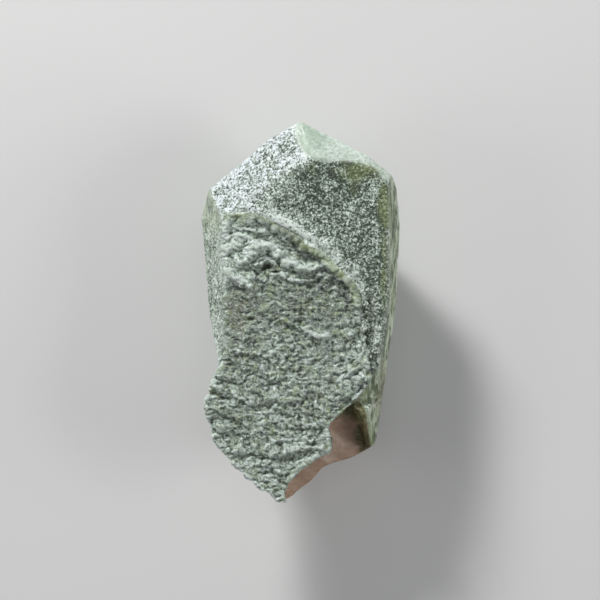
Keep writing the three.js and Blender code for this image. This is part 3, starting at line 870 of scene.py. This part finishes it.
def face_colour(finish, settings, speck, clump):
    """Dark green quartz with pale grains and white flecks that are partly painted glints, painted shade in
    the groove, its smooth tip face, and its streaked sides, brown low on the right as a painted reflection.
    """
    frost, olive, side = finish.painted("frost"), finish.painted("olive"), finish.painted("side")
    level = 0.5 + (speck - 0.5) * 3.4 + (clump - 0.5) * 1.5
    level = level + (frost - 0.5) * 0.6 + (finish.painted("crest") - 0.5) * 0.2
    stops = [
        (0.22, solid_colour(settings.grain_colour)),
        (0.39, DARK_GRAIN),
        (0.52, MIDDLE_GRAIN),
        (0.66, solid_colour(settings.frost_colour)),
        (0.92, WHITE_FLECK_AND_GLINT),
    ]
    # The groove and the line beside it are darkened as painted shade.
    faces = finish.ramp(stops, level - finish.painted("groove") * 0.3)
    cool = finish.painted("left_tip") * frost.rise(0.35, 0.7)
    faces = finish.mix(cool, faces, COOL_LIGHT, "MULTIPLY")
    stain_and_shade = (olive * (0.4 + clump * 1.4)).rise(0.15, 0.9)
    stain_and_shade = stain_and_shade * (0.3 + level.rise(0.2, 0.40) * 0.7) * (1 - level.rise(0.54, 0.75) * 0.65)
    faces = finish.mix(stain_and_shade, faces, solid_colour(settings.olive_colour))

    cloud = (finish.noise(0.8, 5.0, rough=0.8) - finish.painted("smooth_shade") * 0.14).rise(0.36, 0.60)
    smooth_face = finish.mix(cloud, SMOOTH_FACE_DARK, SMOOTH_FACE_PALE)
    faces = finish.mix(finish.painted("smooth_tip") * 0.86, faces, smooth_face)

    streak = finish.noise(0.75, 4.0, stretch=(1.0, 6.0, 2.4), rough=0.75, twist=0.3).rise(0.42, 0.59)
    streaked = finish.mix(streak, STREAK_DARK, STREAK_PALE)
    streaked = finish.mix(finish.noise(2.0, 3.0).rise(0.45, 0.65) * 0.4, streaked, STREAK_OLIVE)
    faces = finish.mix(side, faces, streaked)
    faces = finish.mix(stain_and_shade * side, faces, solid_colour(settings.olive_colour))
    # Brown low on the right side, a painted reflection.
    return finish.mix(finish.painted("brown") * side * 0.65, faces, SIDE_BROWN_REFLECTION)


def crust_colour(finish, settings, clump, stain_and_shade):
    """Painted shade in the creases, green, olive and blue-grey on the knobs' flanks, and painted highlights
    on the knobs' tops and thin crests.
    """
    crest, frost, own = finish.painted("crest"), finish.painted("frost"), finish.painted("own")
    # The crust is painted by height: painted shade in the creases and hollows, painted highlights on the
    # knobs' tops and crests.
    height = crest + (finish.noise(0.34, 2.0, rough=0.6) - 0.5) * 1.8 + (own - 0.5) * 0.3
    height = height - finish.painted("hollow") * 0.3 + (frost - 0.36) * 0.85 + (clump - 0.5) * 1.2 - 0.13
    stops = [
        (0.06, solid_colour(settings.crease_shade_colour)),
        (0.28, FLANK_GREEN),
        (0.55, solid_colour(settings.crust_colour)),
        (0.76, solid_colour(settings.knob_highlight_colour)),
        (0.92, CREST_HIGHLIGHT),
    ]
    colour = finish.ramp(stops, height)
    green = finish.noise(1.7, 3.0, rough=0.6).rise(0.45, 0.62) * crest.rise(0.3, 0.7)
    colour = finish.mix(green * (0.9 - height.rise(0.6, 0.9) * 0.6), colour, KNOB_GREEN)
    colour = finish.mix(clump.rise(0.53, 0.66) * 0.55, colour, KNOB_BLUE_GREY)
    colour = finish.mix(finish.noise(2.4, 2.0, rough=0.6).rise(0.48, 0.62) * 0.2, colour, MOSS_GREEN)
    brown = (finish.painted("brown") + (finish.noise(1.2, 3.0) - 0.5) * 1.6).rise(0.45, 1.0)
    colour = finish.mix(brown * 0.7, colour, CRUST_BROWN_COLOUR)
    return finish.mix(stain_and_shade * 0.55, colour, CRUST_OLIVE_COLOUR)


def clear_quartz(settings):
    """The clean break, where the clear inside of the quartz shows, tinted warm as painted light coming
    through it, between dark olive fringes that are partly painted shade.
    """
    finish = Finish("clear_broken_quartz")
    mottle = finish.noise(0.7, 3.0, stretch=(2.0, 0.8, 1.0), rough=0.7, twist=0.3)
    stain_and_shade = (finish.painted("olive") * (0.4 + mottle * 1.4)).rise(0.2, 0.95)
    # A warm tint that is painted light coming through the clear quartz.
    tint = finish.mix(mottle.rise(0.40, 0.60), WARM_LIGHT_THROUGH, BROWN_LIGHT_THROUGH)
    fringe = finish.mix(finish.noise(0.5, 3.0).rise(0.45, 0.62), FRINGE_DARK, FRINGE_OLIVE)
    surface = finish.node(
        "ShaderNodeBsdfPrincipled",
        {},
        {
            "Base Color": finish.mix(stain_and_shade, tint, fringe),
            "Roughness": 0.42,
            "IOR": QUARTZ_IOR,
            "Transmission Weight": 0.6,
            "Normal": finish.bump(finish.noise(1.2, 3.0) + mottle * 0.4, 0.25, 0.1),
        },
    )
    inside = {"Color": solid_colour(settings.inside_colour), "Density": 25.0}
    return finish.finish(surface, finish.node("ShaderNodeVolumeAbsorption", {}, inside))


def pale_floor(settings):
    """A plain pale matte surface."""
    finish = Finish("pale_floor")
    surface = finish.node(
        "ShaderNodeBsdfPrincipled", {}, {"Base Color": solid_colour(settings.floor_colour), "Roughness": 0.9}
    )
    return finish.finish(surface)


# Settings


def number(name, description, default):
    """A size that a user may change, in millimetres."""
    return bpy.props.FloatProperty(name=name, description=description, default=default, min=0.0)


def power(name, description, default):
    """A light's power."""
    return bpy.props.FloatProperty(name=name, description=description, default=default, min=0.0, unit="POWER")


def colour(name, description, default):
    """A colour that a user may change."""
    return bpy.props.FloatVectorProperty(
        name=name, description=description, default=default, subtype="COLOR", size=3, min=0.0, max=1.0
    )


class QuartzSettings(bpy.types.PropertyGroup):
    """Sizes and colours of the crystal's skin."""

    mesh_step: number("Mesh step", "Width of the mesh's faces before thinning, in millimetres", 0.19)
    face_budget: bpy.props.IntProperty(
        name="Triangles", description="The most triangles in the crystal's mesh", default=194000, min=1000
    )
    lump_width: number("Knob width", "Width of the crust's knobs, in millimetres", 1.15)
    lump_height: number("Knob height", "Height of the crust's knobs, in millimetres", 0.54)
    lump_stray: number("Knob stray", "How far the knobs stray from rows, in millimetres", 0.6)
    grain_height: number("Grain height", "Height of the frosted faces' grain, in millimetres", 0.1)
    streak_height: number("Streak height", "Height of the side faces' streaks, in millimetres", 0.07)
    frost_colour: colour("Frost", "White flecks of the frosted faces", (0.49, 0.57, 0.52))
    grain_colour: colour("Grain", "Dark quartz between the flecks", (0.018, 0.032, 0.018))
    olive_colour: colour("Olive", "Stains of the frosted faces", (0.20, 0.26, 0.09))
    # Painted shade in the crust's creases, and painted highlights on its knobs' tops.
    crease_shade_colour: colour("Creases", "Creases of the crust", (0.055, 0.078, 0.056))
    crust_colour: colour("Crust", "Flanks of the crust's knobs", (0.295, 0.370, 0.290))
    knob_highlight_colour: colour("Knobs", "Tops of the crust's knobs", (0.68, 0.82, 0.73))
    inside_colour: colour("Inside", "What the clear quartz lets through", (0.75, 0.62, 0.54))


class StudioSettings(bpy.types.PropertyGroup):
    """The floor, the lights and the camera."""

    floor_size: bpy.props.FloatProperty(
        name="Floor size", description="Width of the floor", default=4.0, min=0.5, unit="LENGTH"
    )
    floor_colour: colour("Floor", "The floor's colour", (0.72, 0.72, 0.71))
    key_power: power("Key light", "Power of the light over the tip", 6.2)
    fill_power: power("Fill light", "Power of the light from the right", 2.0)
    top_power: power("Top light", "Power of the light overhead", 0.5)
    room_light: bpy.props.FloatProperty(
        name="Room light", description="Strength of the light from all round", default=0.14, min=0.0
    )


# Operators


class MINERAL_OT_quartz_point(bpy.types.Operator):
    """Make the phantom quartz point"""

    bl_idname = "mineral.quartz_point"
    bl_label = "Phantom quartz point"

    def execute(self, context):
        settings = context.scene.quartz_point
        skin = Skin(refined_solid(NODE, settings.mesh_step))
        carve(skin, settings)
        skin.write()
        mesh = thinned(skin.mesh, settings.face_budget)
        mesh.name = "phantom_quartz_point"
        assign_finishes(mesh, settings)
        mesh.transform(Matrix.Scale(MM, 4))
        crystal = bpy.data.objects.new("phantom_quartz_point", mesh)
        context.collection.objects.link(crystal)
        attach(crystal, "root")
        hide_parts(NODE)
        return {"FINISHED"}


def assign_finishes(mesh, settings):
    """Frosted quartz all over, and clear quartz on the faces of the clean break."""
    mesh.materials.append(frosted_quartz(settings))
    mesh.materials.append(clear_quartz(settings))
    broken = np.zeros(len(mesh.vertices), np.float32)
    mesh.attributes["broken"].data.foreach_get("value", broken)
    corners = np.zeros(len(mesh.loops), np.int32)
    mesh.loops.foreach_get("vertex_index", corners)
    starts = np.zeros(len(mesh.polygons), np.int32)
    mesh.polygons.foreach_get("loop_start", starts)
    totals = np.zeros(len(mesh.polygons), np.int32)
    mesh.polygons.foreach_get("loop_total", totals)
    share = np.add.reduceat(broken[corners], starts) / totals
    mesh.polygons.foreach_set("material_index", (share > 0.5).astype(np.int32))
    mesh.polygons.foreach_set("use_smooth", np.ones(len(mesh.polygons), bool))


class MINERAL_OT_studio(bpy.types.Operator):
    """Make the floor, the lights and the camera"""

    bl_idname = "mineral.studio"
    bl_label = "Studio"

    def execute(self, context):
        settings = context.scene.quartz_studio
        add_floor(settings)
        add_lights(settings)
        add_camera()
        return {"FINISHED"}


def add_floor(settings):
    """A large square floor at the level that the crystal lies on."""
    half = settings.floor_size / 2
    mesh = bpy.data.meshes.new("floor")
    corners = [(-half, -half, 0), (half, -half, 0), (half, half, 0), (-half, half, 0)]
    mesh.from_pydata(corners, [], [(0, 1, 2, 3)])
    mesh.materials.append(pale_floor(settings))
    floor = bpy.data.objects.new("floor", mesh)
    bpy.context.collection.objects.link(floor)


def add_lights(settings):
    """Soft lights low over the tip and at the sides, and a faint one overhead."""
    middle = Vector((0.0, 0.0, 11 * MM))
    soft_light("key_light", middle, (-0.42, 0.86, 0.44), 0.75, 0.15, settings.key_power)
    soft_light("fill_light", middle, (0.86, -0.12, 0.42), 0.75, 0.34, settings.fill_power)
    soft_light("left_light", middle, (-0.92, -0.10, 0.40), 0.80, 0.34, 0.5 * settings.fill_power)
    soft_light("top_light", middle, (0.05, 0.10, 1.0), 0.90, 0.50, settings.top_power)
    world = bpy.data.worlds.new("room")
    world.use_nodes = True
    world.node_tree.nodes["Background"].inputs["Color"].default_value = (0.93, 0.96, 1.0, 1.0)
    world.node_tree.nodes["Background"].inputs["Strength"].default_value = settings.room_light
    bpy.context.scene.world = world


def soft_light(name, target, direction, distance, size, power):
    """A square soft light that shines on a target from a direction."""
    light = bpy.data.lights.new(name, "AREA")
    light.size = size
    light.energy = power
    lamp = bpy.data.objects.new(name, light)
    away = Vector(direction).normalized()
    lamp.location = target + distance * away
    lamp.rotation_euler = away.to_track_quat("Z", "Y").to_euler()
    bpy.context.collection.objects.link(lamp)


def add_camera():
    """A long lens straight above, with the photograph's frame: 600 pixels for 120 mm of the crystal."""
    view = bpy.data.cameras.new("camera")
    view.sensor_fit = "HORIZONTAL"
    view.sensor_width = 36.0
    frame_width = 120 * MM
    distance = 1.2
    view.lens = view.sensor_width * distance / frame_width
    camera = bpy.data.objects.new("camera", view)
    silhouette_height = 15 * MM
    camera.location = (-0.1 * MM, 2.2 * MM, silhouette_height + distance)
    bpy.context.collection.objects.link(camera)
    bpy.context.scene.camera = camera
    bpy.context.scene.view_settings.view_transform = "Standard"


class MINERAL_PT_quartz_point(bpy.types.Panel):
    """Makes the crystal and its studio from the sidebar"""

    bl_idname = "MINERAL_PT_quartz_point"
    bl_label = "Phantom quartz point"
    bl_space_type = "VIEW_3D"
    bl_region_type = "UI"
    bl_category = "Mineral"

    def draw(self, context):
        for settings, operator in (
            (context.scene.quartz_point, MINERAL_OT_quartz_point),
            (context.scene.quartz_studio, MINERAL_OT_studio),
        ):
            for name in settings.__annotations__:
                self.layout.prop(settings, name)
            self.layout.operator(operator.bl_idname)


CLASSES = (
    QuartzSettings,
    StudioSettings,
    MINERAL_OT_quartz_point,
    MINERAL_OT_studio,
    MINERAL_PT_quartz_point,
)


def register():
    for kind in CLASSES:
        bpy.utils.register_class(kind)
    bpy.types.Scene.quartz_point = bpy.props.PointerProperty(type=QuartzSettings)
    bpy.types.Scene.quartz_studio = bpy.props.PointerProperty(type=StudioSettings)


def unregister():
    del bpy.types.Scene.quartz_studio
    del bpy.types.Scene.quartz_point
    for kind in reversed(CLASSES):
        bpy.utils.unregister_class(kind)


def main():
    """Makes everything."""
    register()
    bpy.ops.mineral.quartz_point()
    bpy.ops.mineral.studio()


if __name__ == "__main__":
    main()
